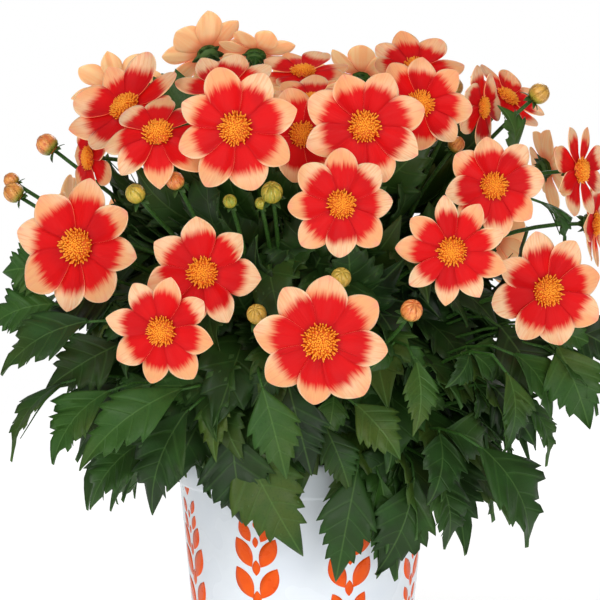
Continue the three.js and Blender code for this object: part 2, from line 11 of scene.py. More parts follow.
import bpy
import numpy as np
from mathutils import Matrix, Vector
from mathutils.geometry import interpolate_bezier


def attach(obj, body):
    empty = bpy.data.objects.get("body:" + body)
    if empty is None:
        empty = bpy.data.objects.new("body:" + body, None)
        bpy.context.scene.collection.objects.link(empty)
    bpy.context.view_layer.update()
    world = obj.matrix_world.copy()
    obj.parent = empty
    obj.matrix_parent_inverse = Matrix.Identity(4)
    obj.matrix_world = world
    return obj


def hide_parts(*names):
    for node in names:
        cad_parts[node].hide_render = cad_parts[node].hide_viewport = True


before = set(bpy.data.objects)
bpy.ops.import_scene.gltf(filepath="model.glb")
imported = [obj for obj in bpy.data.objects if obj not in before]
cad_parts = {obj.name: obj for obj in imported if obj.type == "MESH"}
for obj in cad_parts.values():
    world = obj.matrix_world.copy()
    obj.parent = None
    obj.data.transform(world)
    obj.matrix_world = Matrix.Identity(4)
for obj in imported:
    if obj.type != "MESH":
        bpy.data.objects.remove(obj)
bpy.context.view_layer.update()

MM = 0.001
UP = Vector((0, 0, 1))
UP_AXIS = np.array([0, 0, 1])
GOLDEN_ANGLE = 2.39996  # spreads what is set round a middle evenly

# Sizes of the solids, as in the part's source
POT = Sizes(height=135, rim=77, foot=63.5, wall=2, floor=3, band=19, step=0.8)
SOIL = Sizes(edge=117, middle=120, hole_foot=80)
STEM = Sizes(count=9, ring=27, radius=3, top_radius=2, free=126, lean=24, top=240, lowest=140,
             steps=2)
STALK = Sizes(radius=1.6, sides=3, steps=2, rise=1.4, straight=9)
PETAL = Sizes(fill=0.78, lap=1.5, uneven=0.1, narrow=0.86)
DISC = Sizes(across=0.28, height=0.11)
LEAF = Sizes(thick=0.8, half=1.3, arch=0.16, fold=0.22, side=0.3)
BUD = Sizes(sides=4, stalk=0.7, rise=120, foot=-1)
GAP = 0.3
DOME_DEPTH = 0.9

# What only the scene has. The dome under a disc's florets is measured by the disc's own radius and
# height, and the leaves at the plant's edge face to the front
SHEET = 0.45  # thickness of petals and leaves
DOME = Sizes(radius=0.77, height=0.66, sides=20, florets=190)
DOME_PROFILE = [(0.9, -1.2), (1, 0), (0.94, 0.38), (0.76, 0.7), (0.45, 0.93)]
FLORET_SIDES = 4
FLORET_RINGS = [(0, 0.7), (0.6, 1), (0.85, 0.62)]  # how far up a floret, and how wide there
CALYX = [(7, 1.7), (5.2, 3.6), (3.6, 5.2), (2.2, 6.2), (0.6, 6.4)]  # how far behind a bloom, radius
BUD_PROFILE = [(-1, 0.25), (-0.86, 0.58), (-0.55, 0.88), (-0.15, 1), (0.3, 0.95), (0.66, 0.74),
               (0.92, 0.42), (1.08, 0.12)]  # how far along a bud, and how wide there, by its radius
FINE_STEPS = 12  # of a stalk
FILM = Sizes(lift=0.06, thick=0.16)  # of the print on the pot
TO_FRONT = Vector((0, -1, 0.3))

# Each bloom: its middle, turn and tilt in degrees, width across, count of petals and cup
BLOOMS = [
    ((-126, -85, 260), -20, 5, 78, 8, 0.06), ((-100, -62, 337), -32, 35, 71, 8, 0.2),
    ((-123, -40, 309), -60, 0, 54, 7, -0.1), ((-79, -112, 322), -8, 38, 66, 8, -0.24),
    ((-36, -134, 325), -10, 5, 70, 8, 0.06), ((-44, -72, 347), -10, 45, 60, 8, 0.05),
    ((0, -30, 358), 0, 60, 56, 8, 0.1), ((5, -73, 341), 5, 60, 50, 7, 0.12),
    ((-1, -102, 322), 12, 12, 58, 7, 0.05), ((33, -126, 326), 2, 12, 68, 8, 0.03),
    ((65, -92, 339), 12, 22, 59, 8, 0.08), ((65, -42, 360), 15, 48, 60, 8, 0.12),
    ((101, -64, 338), 60, 0, 49, 7, -0.04), ((120, -14, 344), 45, 45, 55, 8, 0.1),
    ((20, -146, 285), 5, 5, 61, 8, -0.08), ((104, -108, 294), 10, 5, 60, 8, 0.04),
    ((80, -136, 260), -10, -8, 62, 9, 0.05), ((135, -98, 236), 15, 0, 68, 8, 0.04),
    ((9, -157, 213), 0, -4, 76, 8, 0.04), ((-54, -132, 248), -8, 2, 66, 7, 0.03),
    ((-75, -148, 218), -14, -6, 63, 8, 0.03), ((159, -45, 302), 52, 2, 58, 8, 0.05),
    ((172, -10, 270), 72, 0, 56, 7, 0.05), ((-58, 18, 372), -150, 42, 60, 8, 0.1),
    ((-28, -6, 371), 170, 62, 50, 7, 0.1), ((36, 34, 358), 165, 52, 48, 7, 0.3),
    ((-112, 14, 350), -165, 35, 58, 8, 0.1), ((149, 30, 303), 108, 15, 54, 7, 0.05),
    ((0, 94, 346), 180, 38, 68, 7, 0.05), ((84, 92, 330), 140, 28, 64, 8, 0.1),
    ((-80, 88, 330), -140, 26, 66, 7, 0.05), ((-146, 44, 272), -95, 8, 60, 7, 0.05),
    ((-118, 98, 256), -130, 4, 66, 8, 0.08), ((-38, 142, 262), -168, 4, 66, 8, 0.02),
    ((44, 140, 250), 166, 0, 68, 8, 0.05), ((122, 92, 258), 128, 4, 66, 8, 0.05),
]

NARROW_PETALS = {2, 3, 16, 19, 20, 21, 26, 29, 32}  # which blooms in that list have narrow petals

# Each large leaf at the front: the foot and tip of its blade, and its width
FRONT_LEAVES = [
    ((-63, -118, 172), (-83, -114, 113), 38), ((-22, -133, 187), (-9, -130, 137), 31),
    ((-66, -122, 184), (-122, -124, 139), 34), ((-87, -98, 153), (-119, -96, 113), 36),
    ((-36, -104, 154), (0, -104, 88), 42), ((18, -104, 132), (18, -98, 73), 24),
    ((62, -98, 132), (40, -98, 77), 39), ((73, -94, 136), (80, -88, 89), 30),
    ((98, -106, 150), (126, -97, 92), 46), ((112, -112, 192), (110, -112, 148), 27),
    ((118, -88, 200), (138, -92, 163), 36), ((61, -122, 200), (60, -124, 158), 22),
    ((28, -122, 176), (53, -122, 145), 27), ((12, -112, 162), (26, -110, 124), 22),
    ((-44, -104, 178), (-33, -106, 134), 27), ((-136, -82, 227), (-174, -74, 213), 36),
    ((-119, -98, 219), (-168, -94, 188), 36), ((-144, -64, 247), (-175, -50, 244), 30),
    ((-134, -88, 184), (-163, -100, 141), 22), ((-107, -104, 181), (-138, -108, 140), 36),
    ((136, -74, 203), (165, -84, 164), 36), ((124, -74, 174), (139, -72, 134), 24),
    ((119, -64, 312), (110, -72, 339), 26), ((137, -64, 284), (147, -70, 259), 30),
]

# Leaves that only the scene has, all turned to the front, where the plant would be too thin there:
# foot, tip, width and tone
EDGE_LEAVES = [
    ((132, -72, 214), (166, -72, 203), 26, 0.8), ((150, -68, 214), (182, -68, 196), 30, 0.3),
    ((143, -82, 204), (161, -86, 157), 40, 0.6), ((112, -62, 214), (140, -64, 170), 40, 0.15),
    ((108, -72, 180), (132, -74, 146), 34, 0.2), ((-108, -66, 232), (-146, -62, 222), 40, 0.2),
    ((-104, -72, 204), (-146, -76, 178), 38, 0.2), ((-104, -78, 182), (-130, -84, 150), 34, 0.25),
    ((-22, -143, 187), (-9, -140, 137), 31, 0.7), ((30, -108, 138), (18, -102, 73), 34, 0.55),
    ((-40, -110, 160), (-34, -102, 106), 44, 0.25),
]

# Each tier of leaves: foot and tip as distance and height, width, count, start and span in degrees.
# The last three stand among the stems, and the source keeps only those of them that find room
LEAF_TIERS = [
    ((82, 292), (130, 300), 34, 3, 90, 180), ((84, 244), (162, 206), 44, 7, 80, 200),
    ((80, 200), (152, 142), 46, 8, 86, 192), ((86, 166), (114, 94), 44, 8, 82, 196),
    ((66, 206), (96, 140), 38, 4, -72, 144), ((52, 174), (92, 124), 46, 9, -170, 360),
    ((52, 216), (94, 172), 48, 9, -160, 360), ((50, 262), (94, 228), 46, 9, -175, 360),
]
INNER_TIERS = 3
TIER_UNEVEN = Sizes(height=10, twist=14, width=0.3)

# Each bud: its middle, its radius and its ripeness from green, 0, to orange, 1
BUDS = [
    ((-152, -6, 317), 6, 0.9), ((-169, -30, 289), 5.5, 0.7), ((-92, -108, 290), 5, 0.2),
    ((-17, -124, 291), 5.5, 0.1), ((-25, -138, 226), 5, 0.4), ((20, -144, 246), 5, 0.3),
    ((58, -138, 228), 5.5, 0.9), ((135, -52, 346), 5.5, 0.5), ((92, 34, 352), 5.5, 0.6),
    ((0, 146, 296), 5.5, 0.5),
]

# Small buds that only the scene has
SMALL_BUDS = [
    ((-70, -112, 297), 4.6, 0.9), ((-40, -116, 286), 3.4, 0), ((-23, -118, 285), 3, 0),
    ((87, -62, 317), 4.4, 0.8), ((-171, -24, 296), 4.2, 0.8), ((141, -70, 190), 3.2, 0),
]

# Ways in which the source bends a stalk or sets a leaf until it is clear
STALK_DROPS = [70, 80, 60, 90, 50, 100, 110, 120, 130, 140]
STALK_HANDLES = [0.36, 0.24, 0.48, 0.6, 0.12]
LEAF_SWINGS = [0, 3, -3, 6, -6, 10, -10, 14, -14]
LEAF_PUSHES = [1, 0.95, 1.05, 0.9, 1.1]
LEAF_LIFTS = [0, -6, 6, -12]
LEAF_DROPS = [40, 30, 50, 20, 60, 10, 70, 0, -20]
MATCH = 0.02  # how near to a corner of the solids a place has to be to match it


def draw(seed):
    """A draw from 0 to 1 that is always the same for the same seed."""
    return (sin(seed * 12.9898) * 43758.5453) % 1


def around(angle, distance, height):
    """A place at an angle round the pot's axis, counted from the front to the right."""
    return Vector((distance * sin(angle), -distance * cos(angle), height))


def lerp(a, b, share):
    return a + (b - a) * share


def smooth(low, high, value):
    share = np.clip((value - low) / (high - low), 0, 1)
    return share * share * (3 - 2 * share)


# Camera: in front of the plant and a little above it, in metres

CAMERA = Sizes(distance=1.3, elevation=4, target=(-0.0018, 0, 0.224), lens=130, sensor=36)


def linked(name, data):
    """A new object in the scene."""
    obj = bpy.data.objects.new(name, data)
    bpy.context.collection.objects.link(obj)
    return obj


def aim(obj, target):
    obj.rotation_euler = (target - obj.location).to_track_quat("-Z", "Y").to_euler()


def add_camera():
    target, elevation = Vector(CAMERA.target), radians(CAMERA.elevation)
    data = bpy.data.cameras.new("camera")
    data.lens, data.sensor_width = CAMERA.lens, CAMERA.sensor
    camera = linked("camera", data)
    camera.location = target + CAMERA.distance * Vector((0, -cos(elevation), sin(elevation)))
    aim(camera, target)
    bpy.context.scene.camera = camera


# Meshes

class Form:
    """A mesh in the making: points with their marks, and faces of three or four corners."""

    MARKS = ("zone", "edge", "under")

    def __init__(self):
        self.places, self.marks, self.faces, self.count = [], [], [], 0

    def add(self, places, marks, *faces):
        """Points, their marks in the same order, and faces that count from the first of them."""
        self.places.append(np.reshape(places, (-1, 3)))
        self.marks.append(np.reshape(marks, (-1, 6)))
        self.faces.extend(array + self.count for array in faces)
        self.count += len(self.places[-1])

    def stand(self, place, way):
        """Turns what faces up to face another way, and moves the origin to a place."""
        self.places = [places @ turn_up(way).T + np.array(place) for places in self.places]

    def mesh(self, name):
        places = np.concatenate(self.places) * MM
        marks = np.concatenate(self.marks)
        mesh = bpy.data.meshes.new(name)
        mesh.from_pydata(places, [], [face for array in self.faces for face in array.tolist()])
        mesh.validate()
        mesh.shade_smooth()
        mesh.attributes.new("blade", "FLOAT_VECTOR", "POINT").data.foreach_set(
            "vector", marks[:, :3].astype(np.float32).ravel())
        for column, title in enumerate(self.MARKS, 3):
            mesh.attributes.new(title, "FLOAT", "POINT").data.foreach_set(
                "value", marks[:, column].astype(np.float32))
        return mesh


def marks_of(shape, across=0, along=0, seed=0, zone=0, edge=0):
    """The marks of points in an array of this shape; the last, of undersides, is nothing."""
    table = np.zeros((*np.atleast_1d(shape), 6))
    for column, values in enumerate((across, along, seed, zone, edge)):
        table[..., column] = values
    return table


def piece(form, name, material, slot, nodes=()):
    obj = linked(name, form.mesh(name))
    obj.data.materials.append(material)
    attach(obj, "root")
    if nodes:
        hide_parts(*nodes)


def sheet(rows, columns, start=-1):
    """How far along a sheet its rows are, from start to 1, and how far across its columns."""
    return np.linspace(start, 1, rows)[:, None], np.linspace(-1, 1, columns)[None, :]


def grid_quads(rows, columns, closed=False):
    """Faces of a grid of points; a closed one joins its last column to its first."""
    ids = np.arange(rows * columns).reshape(rows, columns)
    right = np.roll(ids, -1, axis=1)
    if not closed:
        ids, right = ids[:, :-1], right[:, :-1]
    return np.stack([ids[:-1], right[:-1], right[1:], ids[1:]], axis=-1).reshape(-1, 4)


def add_blade(form, places, normal, thick, marks):
    """A thin closed blade round a grid of places: an upper sheet, a lower one, and the rim."""
    rows, columns = places.shape[:2]
    ids = np.arange(rows * columns).reshape(rows, columns)
    rim = np.concatenate([ids[0, :-1], ids[:-1, -1], ids[-1, :0:-1], ids[:0:-1, 0]])
    after, low = np.roll(rim, -1), rows * columns
    upper = grid_quads(rows, columns)
    shift = np.asarray(normal) * thick / 2
    lower_marks = marks.copy()
    lower_marks[..., 5] = 1
    form.add(np.stack([places + shift, places - shift]), np.stack([marks, lower_marks]), upper,
             upper[:, ::-1] + low, np.stack([rim, rim + low, after + low, after], axis=-1))


def add_tube(form, places, sides, **marks):
    """A closed form: rings of points, then the points at its two ends."""
    rings = (len(places) - 2) // sides
    ring = np.arange(sides)
    after = np.roll(ring, -1)
    top, first = (rings - 1) * sides, rings * sides
    form.add(places, marks_of(len(places), **marks), grid_quads(rings, sides, closed=True),
             np.stack([after, ring, np.full(sides, first)], axis=-1),
             np.stack([ring + top, after + top, np.full(sides, first + 1)], axis=-1))


def turned(profile, sides, first_end, last_end):
    """Points of a turned form: rings of a radius and height each, then its two ends on the axis."""
    angles = np.arange(sides) * tau / sides
    circle = np.stack([np.sin(angles), -np.cos(angles), 0 * angles], axis=-1)
    rings = [circle * radius + UP_AXIS * height for radius, height in profile]
    return np.concatenate([*rings, [UP_AXIS * first_end, UP_AXIS * last_end]])


def on_arm(angle, distance, side, height):
    """Places on an arm round an axis, by how far out, to the side and up they are."""
    axes = [cos(angle), sin(angle), 0], [-sin(angle), cos(angle), 0], UP_AXIS
    parts = np.broadcast_arrays(distance, side, height)
    return sum(part[..., None] * np.array(axis) for part, axis in zip(parts, axes))


def limb_rings(path, radii, sides):
    """Rings of points round a path."""
    def direction(i):
        return (path[min(i + 1, len(path) - 1)] - path[max(i - 1, 0)]).normalized()

    seed = Vector((1, 0, 0)) if abs(direction(0).z) > 0.9 else UP
    across = direction(0).cross(seed).normalized()
    angles = [tau * k / sides for k in range(sides)]
    rings = []
    for i, (place, radius) in enumerate(zip(path, radii)):
        along = direction(i)
        across = (across - along * across.dot(along)).normalized()
        beside = along.cross(across)
        rings.append([place + across * (radius * cos(angle)) + beside * (radius * sin(angle))
                      for angle in angles])
    return rings


def add_limb(form, path, radii, sides, seed, zone):
    """A closed round limb along a path."""
    steps = np.linalg.norm(np.diff(np.array(path), axis=0), axis=1)
    across = [*np.tile(np.arange(sides), len(path)), 0, 0]
    along = [*np.repeat([0, *np.cumsum(steps)], sides), 0, 0]
    rings = np.reshape(limb_rings(path, radii, sides), (-1, 3))
    add_tube(form, np.concatenate([rings, [path[0], path[-1]]]), sides, across=across, along=along,
             seed=seed, zone=zone)


def bend(start, leaving, end, arriving, handle, steps):
    """Points on a curve from one place to another, by its directions there."""
    reach = (end - start).length * handle
    handles = start + leaving * reach, end - arriving * reach
    return interpolate_bezier(start, *handles, end, steps + 1)


# Stems, and what grows from them, as the source places them

def stem_path(i, steps):
    angle = (i + 0.5) * tau / STEM.count
    return [around(angle, STEM.ring, SOIL.hole_foot),
            *(around(angle, STEM.ring + STEM.lean * part ** 2, lerp(STEM.free, STEM.top, part))
              for part in (k / steps for k in range(steps + 1)))]


def flat_way(start, end):
    return Vector((end.x - start.x, end.y - start.y, 0)).normalized()


def on_stem(i, height, towards):
    """The place inside a stem, at a height, where what grows towards a place leaves it."""
    level = min(max(height, STEM.lowest), STEM.top - STEM.radius)
    path = stem_path(i, STEM.steps)
    k = next(k for k, place in enumerate(path) if place.z >= level)
    low, high = path[k - 1], path[k]
    middle = low.lerp(high, (level - low.z) / (high.z - low.z))
    return middle + flat_way(middle, towards) * (STEM.top_radius / 2)


def owner_of(place):
    angle = atan2(place.x, -place.y) % tau
    return int(angle * STEM.count / tau)


def leaf_owner(foot, tip):
    return owner_of(foot.lerp(tip, LEAF.side))


def rising(root, place):
    return (flat_way(root, place) + UP * STALK.rise).normalized()


def facing(turn, tilt):
    return around(radians(turn), cos(radians(tilt)), sin(radians(tilt)))


def corners_of(node):
    return np.array([vertex.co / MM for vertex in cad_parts[node].data.vertices])


corners = [corners_of(f"leafy_stem_{i + 1}") for i in range(STEM.count)]


def misfit(owner, places):
    """How far some places are from the nearest corners of a stem's node."""
    return sum(np.linalg.norm(corners[owner] - np.array(place), axis=1).min() for place in places)


def stalk_path(owner, place, way, end, radius, sides):
    """A stalk's path from its stem, with the drop and bend that the source gave it: those whose
    middle ring the stem's node has."""
    def lead(drop, handle, steps):
        root = on_stem(owner, place.z - drop, place)
        return bend(root, rising(root, place), end, way, handle, steps)

    def fit(bent):
        path = lead(*bent, STALK.steps)
        return misfit(owner, limb_rings(path, [radius] * len(path), sides)[1])

    return lead(*min(product(STALK_DROPS, STALK_HANDLES), key=fit), FINE_STEPS)


def leaf_frame(foot, tip, roll=0):
    """A leaf's chord, side and upper face; roll turns it about its chord."""
    chord = tip - foot
    outward = Vector((foot.x + tip.x, foot.y + tip.y, chord.length)).normalized()
    side = Matrix.Rotation(roll, 3, chord) @ chord.cross(outward).normalized()
    return chord, side, side.cross(chord).normalized()


def leaf_way(owner, foot, tip, needed):
    """The foot, tip and root with which the source sets a leaf, or None if it left it out."""
    def moved(lift, push, swing):
        turn = Matrix.Rotation(radians(swing), 3, "Z")
        return [turn @ Vector((spot.x * push, spot.y * push, spot.z + lift))
                for spot in (foot, tip)]

    def tip_fit(way):
        ends = moved(*way)
        return misfit(owner, [ends[1] + leaf_frame(*ends)[2] * (LEAF.thick / 2)])

    way = min(product(LEAF_LIFTS, LEAF_PUSHES, LEAF_SWINGS), key=tip_fit)
    if not needed and tip_fit(way) > MATCH:
        return None
    new_foot, new_tip = moved(*way)
    _, side, face = leaf_frame(new_foot, new_tip)

    def root_fit(root):
        stalk_face = side.cross(new_foot - root).normalized()
        elbow = (face + stalk_face).normalized()
        elbow /= max(elbow.dot(face), 0.5)
        return misfit(owner, [new_foot + side * (sign * LEAF.half) + elbow * (LEAF.thick / 2)
                              for sign in (1, -1)])

    root = min((on_stem(owner, foot.z - drop, new_foot) for drop in LEAF_DROPS), key=root_fit)
    return new_foot, new_tip, root


def tier_leaves():
    """The foot, tip and width of each leaf of the tiers, and whether it is an outer one."""
    for tier, (foot, tip, width, count, start, span) in enumerate(LEAF_TIERS):
        for i in range(count):
            uneven = lambda part: draw(tier * 31 + i + part) - 0.5
            angle = radians(start + span * (i + 0.5 + uneven(0) / 2) / count)
            twist = radians(TIER_UNEVEN.twist * uneven(0.6))
            rise = TIER_UNEVEN.height * uneven(0.3)
            spots = [around(turn, distance, height + rise)
                     for turn, (distance, height) in ((angle, foot), (angle + twist, tip))]
            for spot in spots:
                spot.y *= DOME_DEPTH
            yield (*spots, width * (1 + TIER_UNEVEN.width * uneven(0.9)),
                   tier < len(LEAF_TIERS) - INNER_TIERS)


# Blooms

def petal_width(along, point):
    """Half width along a petal as a share of its widest: a narrow foot, then an oval whose end is
    round where point is a half, and the sharper the larger it is."""
    foot = 0.38 + 0.62 * np.sin(np.clip(along / 0.62, 0, 1) * pi / 2) ** 1.25
    end = np.clip((along - 0.56) / 0.44, 0, 1)
    return foot * (1 - end ** 2) ** point


def petal_places(bloom, k, seed, over, narrow):
    """A petal's middle sheet by distance out, to the side and up, and the marks of its points."""
    _, _, _, across, count, cup = bloom
    own = lambda part: draw(seed + k * part)
    reach = across / 2 * (1 - PETAL.uneven * own(3.1))
    start = across / 2 * DISC.across
    widest = PETAL.fill * reach * sin(pi / count) * lerp(0.9, 1.14, own(5.3))
    if narrow:
        widest *= PETAL.narrow
    part, v = sheet(18, 11, 0)
    along = np.sin(part * pi / 2)
    width = petal_width(along, lerp(0.56, 0.84, own(6.1)) + (0.12 if narrow else 0))
    half = widest * width
    side = half * v
    inset = start * 0.35
    distance = start - inset + (reach - start + inset) * along
    notch = 0.045 * reach * max(0, own(2.3) - 0.55) / 0.45
    distance = distance - notch * np.exp(-(v / 0.2) ** 2) * smooth(0.82, 1, along)
    lap = np.where(v < 0, -over(k - 1), over(k)) * PETAL.lap * width * np.abs(v) ** 1.6
    bow = (own(1.7) - 0.5) * 0.16 * reach
    twist = (own(4.9) - 0.5) * (0.9 if narrow else 0.5)
    hollow = lerp(0.1, 0.3, own(7.3)) * half * (v ** 2 - 0.35) * (1 - 0.6 * along)
    folds = 0.24 * np.cos(v * 7.5 + own(8.1)) * smooth(0.05, 0.4, along) * (1 - along ** 4)
    height = (cup * reach * along ** 2 + lap + bow * along ** 2.5 + hollow + folds
              + twist * side * along ** 1.5 * 0.5 + 0.8 * (1 - smooth(0, 0.2, along)))
    bend_aside = (own(9.7) - 0.5) * 0.1 * reach * along ** 2
    marks = marks_of(side.shape, side, distance, seed + k * 1.37, along, np.abs(v))
    return (distance, side + bend_aside, height), marks


def turn_up(way):
    """The matrix that turns what faces up to face another way."""
    return np.array(UP.rotation_difference(way).to_matrix())


def add_petals(form, bloom, seed, narrow):
    count = bloom[4]
    over = lambda k: 1 if draw(seed + (k % count) * 7.7) > 0.5 else -1
    for k in range(count):
        places, marks = petal_places(bloom, k, seed, over, narrow)
        # Columns run against the side axis, so that the upper sheet faces up
        local = on_arm(k * tau / count + draw(seed) * 2, *places)[:, ::-1]
        add_blade(form, local, UP_AXIS, SHEET, marks[:, ::-1])


def add_floret(form, place, way, length, radius, seed):
    """One floret of a disc: a small pointed spike that is a little thicker above its foot."""
    way = way / np.linalg.norm(way)
    across = np.cross(way, [0.31, 0.74, 0.59])
    across /= np.linalg.norm(across)
    beside = np.cross(way, across)
    angles = np.arange(FLORET_SIDES)[:, None] * tau / FLORET_SIDES
    circle = np.cos(angles) * across + np.sin(angles) * beside
    rings = [place + way * length * at + circle * radius * wide for at, wide in FLORET_RINGS]
    zone = [*np.repeat([at for at, _ in FLORET_RINGS], FLORET_SIDES), 0, 1]
    add_tube(form, np.concatenate([*rings, [place, place + way * length]]), FLORET_SIDES,
             seed=seed, zone=zone)


def add_disc(form, bloom, seed):
    """A low dome of florets that stand upright in its middle and lean out at its edge."""
    across = bloom[3]
    radius = across / 2 * DISC.across * DOME.radius
    height = across * DISC.height * DOME.height
    profile = [(radius * wide, height * at) for wide, at in DOME_PROFILE]
    places = turned(profile, DOME.sides, profile[0][1], height)
    # The underside, which is marked, is the first two rings and the first end
    below = np.zeros(len(places))
    below[:2 * DOME.sides] = below[-2] = -1
    add_tube(form, places, DOME.sides, seed=seed, zone=below)
    count, size = DOME.florets, across / 70
    for i in range(count):
        share = sqrt((i + 0.5) / count)
        angle = i * GOLDEN_ANGLE + draw(seed + i) * 0.25
        outward = np.array([cos(angle), sin(angle), 0])
        level = height * sqrt(1 - (share * 0.97) ** 2.4)
        foot = outward * radius * share * 0.97 + UP_AXIS * (level - 0.5)
        aside = np.array([draw(seed + i * 1.9) - 0.5, draw(seed + i * 2.7) - 0.5, 0])
        way = outward * (share ** 2.4 * 1.35) + UP_AXIS + 0.22 * aside
        length = lerp(2, 3.4, share ** 4) * (0.75 + 0.5 * draw(seed + i * 3.3)) * size
        add_floret(form, foot, way, length, lerp(0.72, 0.46, share ** 2) * size, seed + i * 0.61)


def add_bracts(form, place, way, reach, count, seed, back, width):
    """A ring of small pointed bracts behind a bloom or under a bud, bent back by their tips."""
    turn = turn_up(way)
    along, v = sheet(6, 3, 0)
    for k in range(count):
        angle = k * tau / count + draw(seed + k) * 0.4
        length = reach * (0.85 + 0.3 * draw(seed + k * 1.3))
        half = width * length * np.sin(np.clip(along * 0.93 + 0.1, 0, 1) * pi) ** 0.8 + 0.05
        distance = length * along * (1 - back * along * 0.5)
        height = -back * length * along ** 2 + 0.18 * half * v ** 2
        marks = marks_of(height.shape, half * v, distance, seed + k, 0.5, np.abs(v))
        # The side is turned over, so that the upper sheet faces up
        local = on_arm(angle, distance, -half * v, height)
        add_blade(form, local @ turn.T + np.array(place), turn @ UP_AXIS, 0.4, marks)


# Leaves; where their mark of zone is high, there is stem, stalk or rib

STEM_ZONE, RIB = 9, 9.5


def leaf_rows(seed, teeth):
    """Rows of a leaf from its foot to its tip. Each is how far along its edge is, its half width as
    a share of the widest, and its count of side veins, whole where a tooth ends."""
    rows = [(0, 0.05, -0.9), (0.05, 0.13, -0.75), (0.13, 0.36, -0.6), (0.23, 0.62, -0.45),
            (0.33, 0.84, -0.25)]
    first, last = 0.42 + 0.04 * draw(seed), 0.75
    for k in range(teeth):
        at = lerp(first, last, (k / (teeth - 1)) ** 0.95) + (draw(seed + k * 1.9) - 0.5) * 0.03
        wide = (1 - 0.98 * max(0, (at - 0.42) / 0.58) ** 1.1) * (0.94 + 0.12 * draw(seed + k * 2.9))
        if k:
            before = rows[-1]
            rows.append((lerp(before[0], at, 0.5), lerp(before[1], wide, 0.5) * 1.06, k - 0.5))
        rows.append((at + 0.022, wide * 1.03, k))
        rows.append((at, wide * (0.78 - 0.12 * k / teeth), k + 0.1))
    end, wide = rows[-1][:2]
    rows += [(lerp(end, 1, part), wide * (1 - part) ** 0.92 + 0.006, teeth - 0.5 + part / 2)
             for part in (0.28, 0.54, 0.78, 0.92, 1)]
    return np.array(rows)


def add_leaf_blade(form, foot, tip, width, seed, tone, roll, teeth, side_points):
    """A toothed leaf blade, folded a little along its midrib and quilted between its veins."""
    chord, side, face = leaf_frame(foot, tip, roll)
    length = chord.length
    knee = foot + chord * 0.5 + face * (2 * LEAF.arch * length)
    foot, knee, tip, side, face = map(np.array, (foot, knee, tip, side, face))
    halves = []
    for sign in (1, -1):
        rows = leaf_rows(seed + sign * 0.37, teeth)
        edge_at, wide, veins = rows[:, :1], rows[:, 1:2] * width / 2, rows[:, 2:]
        anchor = np.maximum.accumulate(np.clip(edge_at - 0.82 * wide / length, 0, 1), axis=0)
        v = np.linspace(0, 1, side_points + 1)[None, :]
        along = anchor + (edge_at - anchor) * v ** 1.15
        across = wide * v
        quilt = 0.03 * width * np.cos(tau * veins) * v * (1 - v)
        wave = 0.05 * width * np.sin(veins * 2.6 + seed) * v ** 2
        height = LEAF.fold * across * (1 - 0.35 * v) - quilt + wave
        halves.append((along, sign * across, height, veins + 0 * v))
    # The first half runs from its edge to the midrib, and the second on from there to its own edge
    along, across, height, veins = (
        np.concatenate([first[:, ::-1], second[:, 1:]], axis=1)
        for first, second in zip(*halves))
    along[:, side_points] = (halves[0][0][:, 0] + halves[1][0][:, 0]) / 2
    t = along[..., None]
    midrib = (1 - t) ** 2 * foot + 2 * t * (1 - t) * knee + t ** 2 * tip
    twist = (draw(seed + 0.7) - 0.5) * 0.5 * along ** 2
    places = midrib + across[..., None] * side + (height + across * twist)[..., None] * face
    marks = marks_of(along.shape, across, along * length, seed, veins, tone)
    # Columns run against the side axis, so that the upper sheet faces up
    add_blade(form, places[:, ::-1], face, SHEET, marks[:, ::-1])


def add_leaf(form, root, foot, tip, width, seed, tone, roll=0.0, teeth=4, leaflets=True,
             side_points=4):
    """A leaf with its stalk, and where the stalk is long a pair of smaller leaflets along it."""
    chord, side, face = leaf_frame(foot, tip, roll)
    ahead = chord.normalized()
    start = (chord * 0.5 + face * (2 * LEAF.arch * chord.length)).normalized()
    path = bend(root, (foot - root).normalized(), foot + start * 2, start, 0.33, 7)
    add_limb(form, path, np.linspace(1.25, 0.8, 8), 6, seed, RIB)
    rib_end = foot.lerp(tip, 0.75) + face * (0.75 * 0.5 * LEAF.arch * chord.length)
    rib = bend(foot, start, rib_end, ahead, 0.3, 5)
    add_limb(form, [spot - face * 0.35 for spot in rib], np.linspace(0.75, 0.25, 6), 5, seed, RIB)
    add_leaf_blade(form, foot, tip, width, seed, tone, roll, teeth, side_points)
    if not leaflets or (foot - root).length < 42:
        return
    for sign in (1, -1):
        size = 0.5 + 0.16 * draw(seed + sign)
        way = (ahead * 0.62 + side * (sign * 0.8) - UP * 0.15).normalized()
        base = path[5] + way * 3
        end = base + way * (chord.length * size)
        if clear_of_blooms(base, end):
            add_limb(form, [path[5], path[5] + way * 2, base + way], [0.8, 0.7, 0.6], 5, seed, RIB)
            add_leaf_blade(form, base, end, width * size * 1.05, seed + sign * 3, tone, roll, 3, 3)


BLOOM_AXES = [(Vector(place), facing(turn, tilt), across)
              for place, turn, tilt, across, _, _ in BLOOMS]
BLOOM_DEPTH = 8


def clear_of_blooms(start, end, margin=5):
    """Whether a straight line keeps clear of the flat round of every bloom."""
    for share, (middle, way, across) in product((0, 0.25, 0.5, 0.75, 1), BLOOM_AXES):
        off = start.lerp(end, share) - middle
        level = off.dot(way)
        beside = (off - way * level).length
        if abs(level) < BLOOM_DEPTH + margin and beside < across / 2 + margin:
            return False
    return True


# The dome of leaves behind the blooms: heights, and its reach from the pot's axis at each
LEAFY_DOME = ((96, 125, 155, 190, 230, 270, 305, 335, 352),
              (92, 112, 128, 140, 142, 132, 112, 84, 60))


def dome_reach(height):
    return float(np.interp(height, *LEAFY_DOME))


